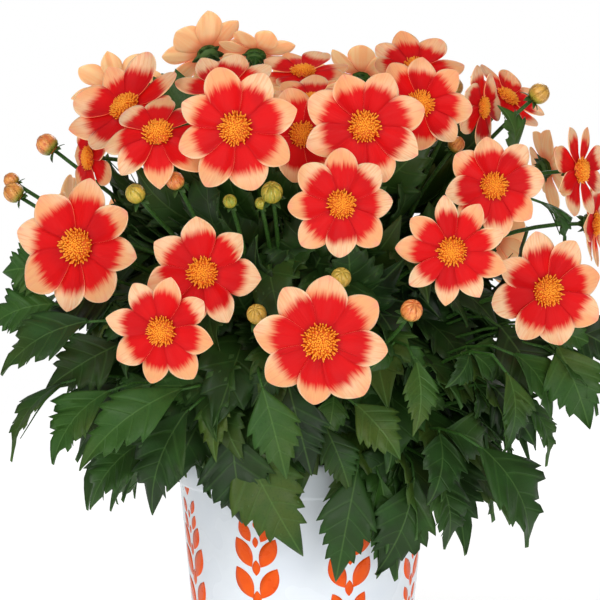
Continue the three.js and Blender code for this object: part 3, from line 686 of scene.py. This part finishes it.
# Bands of leaves that fill the plant behind the large ones: lowest and highest foot, how many, the
# least and most distance as shares of the dome's reach, and the slopes in which they hang or rise
FILLER_BANDS = [
    (132, 165, 70, 0.6, 0.92, (-1.5, -0.7)),
    (160, 215, 130, 0.45, 0.9, (-1.4, -0.5)),
    (205, 270, 110, 0.35, 0.86, (-1.3, -0.5)),
    (200, 285, 110, 0.3, 0.82, (0.5, 1.6)),
    (270, 330, 60, 0.3, 0.8, (0.3, 1.2)),
]


def filler_leaves():
    """The foot, tip, width and seed of each filling leaf."""
    for band, (low, high, count, near, far, slopes) in enumerate(FILLER_BANDS):
        for i in range(count):
            seed = 500 + band * 217 + i * 1.618
            own = lambda part: draw(seed + part)
            level = lerp(low, high, own(0.13))
            angle = i * GOLDEN_ANGLE + own(0) * 0.5
            reach = dome_reach(level) * lerp(near, far, own(0.31) ** 0.7)
            length = lerp(66, 50, (level - 128) / 217) * (0.8 + 0.45 * own(0.57))
            slope = lerp(*slopes, own(0.83))
            way = around(angle + (own(0.97) - 0.5) * 1.3, 1, slope).normalized()
            foot = around(angle, reach * 0.8, level)
            tip = foot + way * length
            for spot in (foot, tip):
                spot.y *= DOME_DEPTH
            if tip.z < 352 and (tip.z > 98 or tip.x > 20):
                yield foot, tip, length * lerp(0.6, 0.78, own(0.11)), seed


def grow_foliage():
    forms = [Form() for _ in range(STEM.count)]
    for i, form in enumerate(forms):
        path = stem_path(i, 8)
        add_limb(form, path, np.linspace(STEM.radius, STEM.top_radius, len(path)), 10, i, STEM_ZONE)
    for index, (place, way, across) in enumerate(BLOOM_AXES):
        grow_stalk(forms, index, place, way, across)
    bud_material = make_bud_material()
    for index, (place, radius, ripeness) in enumerate([*BUDS, *SMALL_BUDS]):
        grow_bud(forms, index, Vector(place), radius, ripeness, bud_material)
    front = [(Vector(foot), Vector(tip), width, True) for foot, tip, width in FRONT_LEAVES]
    for index, (foot, tip, width, outer) in enumerate([*front, *tier_leaves()]):
        owner = leaf_owner(foot, tip)
        way = leaf_way(owner, foot, tip, outer)
        if way:
            foot, tip, root = way
            # Outer leaves take a tone at random; the inner ones a low tone, a darker green that is
            # painted shade
            tone = 0.35 + 0.65 * draw(index * 2.3) if outer else 0.3
            add_leaf(forms[owner], root, foot, tip, width * 1.08, 40 + index * 1.3, tone,
                     teeth=4 + index % 2, leaflets=outer)
    for index, (foot, tip, width, tone) in enumerate(EDGE_LEAVES):
        foot, tip = Vector(foot), Vector(tip)
        owner = leaf_owner(foot, tip)
        _, side, face = leaf_frame(foot, tip)
        roll = atan2(TO_FRONT.dot(side), TO_FRONT.dot(face))
        add_leaf(forms[owner], on_stem(owner, foot.z - 35, foot), foot, tip, width,
                 240 + index * 1.3, tone, roll, leaflets=False)
    for foot, tip, width, seed in filler_leaves():
        owner = leaf_owner(foot, tip)
        root = on_stem(owner, foot.z - 35, foot)
        if clear_of_blooms(foot, tip) and clear_of_blooms(root, foot, 1):
            # Painted shade: the nearer a filling leaf's tip is to the plant's middle, the lower its
            # tone and the darker its green
            depth = hypot(tip.x, tip.y / DOME_DEPTH) / dome_reach(tip.z)
            add_leaf(forms[owner], root, foot, tip, width, seed, 0.5 * smooth(0.5, 1.1, depth),
                     roll=(draw(seed + 0.41) - 0.5) * 1.3, teeth=3 + int(seed) % 2, leaflets=False,
                     side_points=3)
    material = make_leaf_material()
    for i, form in enumerate(forms):
        piece(form, f"foliage_{i + 1}", material, "leaf", [f"leafy_stem_{i + 1}"])


def grow_stalk(forms, index, place, way, across):
    owner = owner_of(place)
    path = stalk_path(owner, place, way, place - way * STALK.straight, STALK.radius, STALK.sides)
    path += [place - way * behind for behind, _ in CALYX]
    radii = [*np.linspace(1.6, 1.2, FINE_STEPS + 1), *(radius for _, radius in CALYX)]
    add_limb(forms[owner], path, radii, 8, index, STEM_ZONE)
    add_bracts(forms[owner], place - way * 4.6, way, across * 0.13, 6, index * 2.7, 0.55, 0.3)
    add_bracts(forms[owner], place - way * 2.4, way, across * 0.17, 8, index * 3.1, 0.1, 0.26)


def grow_bud(forms, index, place, radius, ripeness, material):
    owner = owner_of(place)
    way = Vector((place.x, place.y, BUD.rise)).normalized()
    path = stalk_path(owner, place, way, place + way * (BUD.foot * radius),
                      STALK.radius * BUD.stalk, BUD.sides)
    add_limb(forms[owner], path, np.linspace(1.7, 1.15, FINE_STEPS + 1), 7, index, STEM_ZONE)
    bracts = place - way * radius * 0.95
    add_bracts(forms[owner], bracts, way, radius * 1.5, 5, index * 1.9, 0.3, 0.2)
    form = Form()
    add_limb(form, [place + way * (radius * at) for at, _ in BUD_PROFILE],
             [radius * wide for _, wide in BUD_PROFILE], 20, index + 1, ripeness)
    add_bud_scales(form, place, way, radius, index, ripeness)
    piece(form, f"bud_{index + 1:02d}", material, "petal")


def add_bud_scales(form, place, way, radius, seed, ripeness):
    """The folded petals of a bud: narrow blades that close over it from its foot to its tip."""
    turn = turn_up(way)
    rise, v = sheet(8, 4, -0.75)
    count = 7
    for k in range(count):
        centre = k * tau / count + draw(seed) * 3
        spread = 0.62 * np.cos(rise * 1.35) ** 0.7
        angle = centre + spread * v + 0.25 * rise
        wide = radius * 1.05 * np.sqrt(np.clip(1 - rise ** 2 * 0.97, 0.01, 1))
        height = radius * rise * 1.08
        local = np.stack([wide * np.cos(angle), wide * np.sin(angle), height + 0 * angle], axis=-1)
        normal = local / np.linalg.norm(local, axis=-1, keepdims=True)
        marks = marks_of(angle.shape, angle, height, seed + k * 2, ripeness, 0.5)
        add_blade(form, local @ turn.T + np.array(place), normal @ turn.T, 0.5, marks)


def grow_blooms():
    materials = {"petals": make_petal_material(), "disc": make_disc_material()}
    for index, (bloom, (place, way, _)) in enumerate(zip(BLOOMS, BLOOM_AXES)):
        node = f"bloom_{index + 1:02d}"
        petals, disc = Form(), Form()
        add_petals(petals, bloom, index + 1, index in NARROW_PETALS)
        add_disc(disc, bloom, index + 1)
        for form, title, slot in (petals, "petals", "petal"), (disc, "disc", "disc"):
            form.stand(place, way)
            piece(form, f"{node}_{title}", materials[title], slot, [node])


# Pot and soil

def pot_radius(height):
    return POT.foot + (POT.rim - POT.step - POT.foot) * height / POT.height


def inside(height):
    """The inner radius of the pot's wall."""
    return pot_radius(height) - POT.wall


def make_pot():
    foot, rim, top, floor = POT.foot, POT.rim, POT.height, POT.floor
    band, lip, sides = top - POT.band, inside(top), 128
    profile = [
        (foot - 3, 0.8), (foot - 2.4, 0), (foot - 0.9, 0), (foot - 0.2, 0.5), (foot + 0.1, 1.5),
        *((pot_radius(height), height) for height in (40, 80, band - 1.4)),
        (pot_radius(band - 0.9) + 0.1, band - 0.9), (pot_radius(band) + POT.step - 0.2, band - 0.1),
        (pot_radius(band) + POT.step, band + 0.6),
        (lerp(rim, pot_radius(band), 0.5) + 0.3, top - 9),
        (rim - 0.1, top - 1.2), (rim - 0.5, top - 0.3), (rim - 1.1, top), (lip + 0.7, top),
        (lip + 0.2, top - 0.4), (lip, top - 1.3), (inside(60), 60), (inside(floor + 1), floor + 1),
        (inside(floor) - 1, floor),
    ]
    form = Form()
    add_tube(form, turned(profile, sides, profile[0][1], floor), sides)
    white = [(224, 231, 239), (230, 236, 242)]
    plastic = make_plastic("pot", 30, 2, white, (0.2, 0.3), 0.3, 0.12)
    piece(form, "pot_shell", plastic, "pot", ["pot"])


def add_print(form, angle, height, long, wide, lean):
    """One pointed oval of the garland, a thin film on the pot's wall, leaning from upright."""
    along, v = sheet(13, 4)
    x = (wide / 2 * (1 - np.abs(along) ** 2.1) + 0.06) * v
    y = long / 2 * along
    level = height + y * cos(lean) - x * sin(lean)
    radius = pot_radius(level) + FILM.lift
    theta = angle + (x * cos(lean) + y * sin(lean)) / radius
    places = np.stack([radius * np.sin(theta), -radius * np.cos(theta), level], axis=-1)[:, ::-1]
    normal = np.stack([np.sin(theta), -np.cos(theta), 0 * theta], axis=-1)[:, ::-1]
    add_blade(form, places, normal, FILM.thick, marks_of(level.shape, seed=angle + height))


def make_print():
    """Hanging garlands round the pot: pairs of ovals that lean out, with a small one between."""
    form = Form()
    strands, top, bottom = 8, 104, 10
    for s in range(strands):
        angle = (s + 0.5) * tau / strands
        level, row = top, 0
        while level > bottom:
            big = 0.72 + 0.28 * sin(row * 1.1 + s * 0.7)
            long, wide = 21 * big, 10.5 * big
            for sign in (1, -1):
                sideways = sign * (4.4 + 3.4 * big) / pot_radius(level)
                add_print(form, angle + sideways, level, long, wide, sign * 0.5)
            add_print(form, angle, level - long * 0.46, 10 * big, 5.4 * big, 0)
            level -= long * 0.92
            row += 1
        add_print(form, angle, top + 13, 13, 8, 0)
    orange = [(231, 80, 6), (240, 92, 10)]
    piece(form, "pot_print", make_plastic("print", 90, 3, orange, (0.25, 0.36), 0.2), "print")


def make_soil():
    """Soil with a grainy top, and coarse crumbs scattered on it."""
    form = Form()
    foot, reach = POT.floor + 0.4, inside(SOIL.edge) - GAP
    sides, crumbs = 96, 260
    level = lambda share: lerp(SOIL.middle, SOIL.edge, share)
    walls = [(inside(height) - GAP, height) for height in (foot, SOIL.edge - 2)]
    rings = walls + [(reach * share, level(share)) for share in np.linspace(0.99, 0.03, 30)]
    places = turned(rings, sides, foot, SOIL.middle)
    places[3 * sides:-2, 2] += [1.6 * (draw(r * 97 + a) - 0.5)
                                for r in range(3, len(rings)) for a in range(sides)]
    add_tube(form, places, sides)
    for i in range(crumbs):
        share = sqrt((i + 0.5) / crumbs) * 0.95
        spot = around(i * GOLDEN_ANGLE, reach * share, level(share) + 0.4)
        size = lerp(0.7, 2.4, draw(i * 3.7) ** 2)
        way = Vector((draw(i) - 0.5, draw(i + 0.5) - 0.5, 0.5)).normalized()
        add_limb(form, [spot - way * size, spot, spot + way * size * 0.9],
                 [size * 0.6, size, size * 0.5], 6, i, 1 if draw(i * 1.3) > 0.85 else 0)
    piece(form, "soil_top", make_soil_material(), "soil", ["soil"])


# Materials

WHITE, BLACK = (1, 1, 1, 1), (0, 0, 0, 1)


def srgb(red, green, blue):
    """A colour from its screen values, 0 to 255."""
    shares = (value / 255 for value in (red, green, blue))
    return (*(share / 12.92 if share <= 0.04045 else ((share + 0.055) / 1.055) ** 2.4
              for share in shares), 1)


class Look:
    """The nodes of a material or a world in the making, by short calls."""

    def __init__(self, owner):
        owner.use_nodes = True
        self.owner, self.tree = owner, owner.node_tree

    def put(self, socket, value):
        if isinstance(value, bpy.types.NodeSocket):
            self.tree.links.new(value, socket)
        else:
            socket.default_value = value

    def node(self, kind, inputs=()):
        """A new node, with a value or a link for each of these inputs."""
        node = self.tree.nodes.new("ShaderNode" + kind)
        for title, value in dict(inputs).items():
            self.put(node.inputs[title], value)
        return node

    def mark(self, name, output="Fac"):
        node = self.node("Attribute")
        node.attribute_name = name
        return node.outputs[output]

    def math(self, operation, a, b=0):
        node = self.node("Math", {0: a, 1: b})
        node.operation = operation
        return node.outputs[0]

    def times(self, a, b):
        return self.math("MULTIPLY", a, b)

    def swing(self, value, amount):
        """value, which keeps round a half, as a swing round nothing."""
        return self.times(self.math("SUBTRACT", value, 0.5), amount)

    def span(self, value, low, high, start=0, end=1, kind="SMOOTHSTEP"):
        """value, eased from start at low to end at high."""
        node = self.node("MapRange", enumerate((value, low, high, start, end)))
        node.interpolation_type = kind
        return node.outputs[0]

    def noise(self, scale, detail, vector=None):
        vector = vector or self.node("TexCoord").outputs["Object"]
        node = self.node("TexNoise", {"Vector": vector, "Scale": scale, "Detail": detail})
        return node.outputs["Fac"]

    def blade_noise(self, scales, detail):
        """Noise with a scale across a blade, one along it and one by its seed."""
        node = self.node("VectorMath", {0: self.mark("blade", "Vector"), 1: scales})
        node.operation = "MULTIPLY"
        return self.noise(1, detail, node.outputs[0])

    def parts(self, vector):
        return self.node("SeparateXYZ", {0: vector}).outputs

    def mix(self, share, a, b):
        node = self.node("Mix", {"Factor": share})
        node.data_type = "RGBA"
        self.put(node.inputs[6], a)
        self.put(node.inputs[7], b)
        return node.outputs[2]

    def blend(self, value, low, high, first, second):
        return self.mix(self.span(value, low, high), srgb(*first), srgb(*second))

    def layered(self, base, *layers):
        """A colour with others laid over it, each by a share or by span's share for its values."""
        for *share, color in layers:
            base = self.mix(self.span(*share) if len(share) > 1 else share[0], base, srgb(*color))
        return base

    def bump(self, height, strength, depth):
        node = self.node("Bump", {"Height": height, "Strength": strength, "Distance": depth})
        return node.outputs[0]

    def shade(self, values, shader="Principled BSDF"):
        """The material or world, with these values on its shader."""
        for title, value in values.items():
            self.put(self.tree.nodes[shader].inputs[title], value)
        return self.owner


def new_look(name):
    return Look(bpy.data.materials.new(name))


def make_petal_material():
    look = new_look("petal")
    zone, edge, under = map(look.mark, Form.MARKS)
    streaks = look.blade_noise((1.15, 0.04, 3.1), 3)
    broad = look.blade_noise((0.35, 0.03, 1.7), 1)
    tone = look.blade_noise((0.03, 0.03, 2.3), 1)
    reach = look.math("ADD", zone, look.swing(streaks, 0.27))
    reach = look.math("ADD", reach, look.swing(broad, 0.22))
    reach = look.math("ADD", reach, look.times(look.math("POWER", edge, 3.0), 0.12))
    blush = look.times(look.span(zone, 0.84, 1), look.span(broad, 0.42, 0.62, 0, 0.7))
    pale = look.layered(
        look.blend(tone, 0.38, 0.62, (234, 166, 116), (239, 195, 156)),
        (zone, 0.55, 0.8, 0.5, 0, (234, 150, 104)), (streaks, 0.47, 0.66, 0, 0.55, (230, 150, 108)),
        (edge, 0.8, 1, 0, 0.4, (244, 212, 180)), (blush, (236, 150, 128)))
    # The red zone: darker at each petal's foot round the disc and towards its sides, both painted
    # shade; some petals are a deeper red at random
    red_with_painted_shade = look.layered(
        look.blend(zone, 0.02, 0.2, (180, 4, 12), (209, 5, 10)),
        (tone, 0.48, 0.66, 0, 0.5, (180, 6, 16)), (edge, 0.55, 1, 0, 0.45, (176, 4, 14)))
    top = look.mix(look.span(reach, 0.54, 0.76, 1, 0), pale, red_with_painted_shade)
    back = look.layered(look.blend(broad, 0.3, 0.7, (246, 184, 130), (252, 204, 154)),
                        (zone, 0.1, 0.46, 0.8, 0, (232, 118, 74)))
    return look.shade({
        "Base Color": look.mix(under, top, back),
        # Painted light: the backs of the petals glow by emission, in place of the light that comes
        # through a thin petal
        "Emission Color": look.mix(under, BLACK, back), "Emission Strength": 0.26,
        "Roughness": look.span(streaks, 0.2, 0.8, 0.5, 0.66), "Specular IOR Level": 0.16,
        "Subsurface Weight": 0.55, "Subsurface Radius": (1, 0.5, 0.3), "Subsurface Scale": 0.0015,
        "Normal": look.bump(streaks, 0.35, 0.0004),
    })


def make_disc_material():
    look = new_look("disc")
    zone = look.mark("zone")
    tone = look.blade_noise((0, 0, 3.7), 0)
    grain = look.noise(2600, 2)
    color = look.layered(
        look.blend(zone, 0, 0.5, (226, 104, 8), (246, 142, 16)),
        (zone, 0.6, 1, 0, 0.85, (255, 184, 50)), (tone, 0.4, 0.7, 0, 0.4, (240, 116, 12)),
        (zone, -0.9, -0.3, 1, 0, (70, 104, 42)))
    return look.shade({"Base Color": color, "Roughness": look.span(grain, 0.3, 0.7, 0.55, 0.75),
                       "Normal": look.bump(grain, 0.2, 0.0002)})


def make_leaf_material():
    look = new_look("leaf")
    zone, edge, under = map(look.mark, Form.MARKS)
    across = look.parts(look.mark("blade", "Vector"))[0]
    turn = look.math("SUBTRACT", look.math("FRACT", look.math("ADD", zone, 0.5)), 0.5)
    side_vein = look.span(look.math("ABSOLUTE", turn), 0.01, 0.06, 1, 0)
    midrib = look.span(look.math("ABSOLUTE", across), 0.15, 0.75, 1, 0)
    cells = look.blade_noise((0.75, 0.75, 2.1), 3)
    tone = look.blade_noise((0.012, 0.012, 3.3), 0)
    patch = look.blade_noise((0.07, 0.07, 1.9), 2)
    # A leaf's edge mark carries its tone: at random on the outer leaves, and low on the leaves
    # inside the plant, as painted shade that makes them a near-black green
    tone_and_inner_shade = look.math("ADD", edge, look.swing(tone, 0.6))
    green = look.layered(
        look.blend(tone_and_inner_shade, 0, 0.9, (10, 21, 9), (49, 83, 29)),
        (look.times(look.span(tone, 0.55, 0.75), edge), (74, 86, 28)),
        (patch, 0.42, 0.7, 0, 0.5, (39, 78, 26)), (cells, 0.5, 0.75, 0, 0.35, (26, 56, 18)),
        (look.times(side_vein, 0.12), (84, 124, 58)),
        (look.times(midrib, 0.22), (104, 142, 72)))
    stalk = look.blend(cells, 0.35, 0.7, (38, 72, 26), (58, 98, 34))
    top = look.mix(look.span(zone, 8.4, 8.9), green, stalk)
    pale = look.blend(cells, 0.3, 0.7, (58, 90, 46), (76, 108, 58))
    # The pale underside shows less where the tone is low: the leaves' own tone, and painted shade
    # on the leaves inside the plant
    below = look.times(under, look.span(edge, 0, 0.7, 0.25, 0.75))
    height = look.math("SUBTRACT", look.times(cells, 0.4), look.math("MAXIMUM", side_vein, midrib))
    return look.shade({
        "Base Color": look.mix(below, top, pale), "Specular IOR Level": 0.22,
        "Roughness": look.span(patch, 0.3, 0.7, 0.42, 0.58),
        "Normal": look.bump(height, 0.35, 0.0006),
    })


def make_bud_material():
    look = new_look("bud")
    streaks = look.blade_noise((2.4, 0.25, 1.3), 2)
    level = look.parts(look.mark("blade", "Vector"))[1]
    young = look.blend(streaks, 0.35, 0.65, (150, 164, 56), (196, 178, 60))
    grown = look.layered(look.blend(streaks, 0.35, 0.65, (214, 96, 52), (244, 160, 92)),
                         (level, -4.5, 0.5, 1, 0, (120, 140, 50)))
    return look.shade({
        "Base Color": look.mix(look.mark("zone"), young, grown),
        "Roughness": look.span(streaks, 0.2, 0.8, 0.25, 0.42),
        "Normal": look.bump(streaks, 0.3, 0.0005),
    })


def make_plastic(name, scale, detail, colors, roughness, shine, coat=0):
    """Smooth plastic whose colour and gloss are a little uneven."""
    look = new_look(name)
    cloud = look.noise(scale, detail)
    return look.shade({
        "Base Color": look.blend(cloud, 0.3, 0.7, *colors), "Coat Weight": coat,
        "Roughness": look.span(cloud, 0.3, 0.7, *roughness), "Specular IOR Level": shine,
        "Normal": look.bump(look.noise(1400, 2), 0.05, 0.0002),
    })


def make_soil_material():
    look = new_look("soil")
    grain = look.noise(420, 6)
    dark = look.blend(look.noise(60, 3), 0.35, 0.65, (30, 22, 16), (58, 42, 30))
    color = look.layered(dark, (look.mark("zone"), (176, 166, 150)),
                         (grain, 0.4, 0.75, 0, 0.5, (92, 68, 48)))
    return look.shade({"Base Color": color, "Roughness": look.span(grain, 0.3, 0.7, 0.8, 0.98),
                       "Normal": look.bump(grain, 0.8, 0.0015)})


# Stage: in metres, apart from the floor. Each light has its place and size, its power and the
# height that it aims at

FLOOR = Sizes(radius=1300, height=-0.2, sides=64)
LIGHTS = {
    "key": ((-0.7, -1.4, 1.2), 0.6, 10, 0.22), "fill": ((0.4, -1.6, 0.1), 0.9, 11, 0.3),
    "back": ((0.4, 1.4, 1.1), 0.8, 8, 0.22),
}


def add_light(name, place, size, power, height):
    data = bpy.data.lights.new(name, "AREA")
    data.shape, data.size, data.energy = "DISK", size, power
    light = linked(name, data)
    light.location = place
    aim(light, Vector((0, 0, height)))


def make_studio():
    """White at eye level, and dimmer towards the ceiling and the side walls."""
    look = Look(bpy.data.worlds.new("studio"))
    x, _, z = look.parts(look.node("TexCoord").outputs["Generated"])
    ceiling = look.span(z, 0.12, 0.6, 1, 0.45, "LINEAR")
    walls = look.span(look.math("ABSOLUTE", x), 0.35, 0.85, 1, 0.3, "LINEAR")
    strength = look.times(ceiling, walls)
    return look.shade({"Color": WHITE, "Strength": strength}, "Background")


def add_stage():
    form = Form()
    sides, height = FLOOR.sides, FLOOR.height
    places = turned([(FLOOR.radius, height)], sides, height, height)[:-1]
    ring = np.arange(sides)
    form.add(places, marks_of(len(places)),
             np.stack([ring, np.roll(ring, -1), np.full(sides, sides)], axis=-1))
    floor = linked("floor", form.mesh("floor"))
    look = new_look("floor")
    light, dark = (0.64, 0.64, 0.64, 1), (0.6, 0.6, 0.6, 1)
    floor.data.materials.append(look.shade({
        "Base Color": look.mix(look.span(look.noise(3, 2), 0.3, 0.7), dark, light),
        "Roughness": 0.9, "Emission Color": WHITE, "Emission Strength": 0.62,
    }))
    bpy.context.scene.world = make_studio()
    bpy.context.scene.view_settings.view_transform = "Standard"
    for name, light in LIGHTS.items():
        add_light(name, *light)


add_camera()
add_stage()
make_pot()
make_print()
make_soil()
grow_blooms()
grow_foliage()
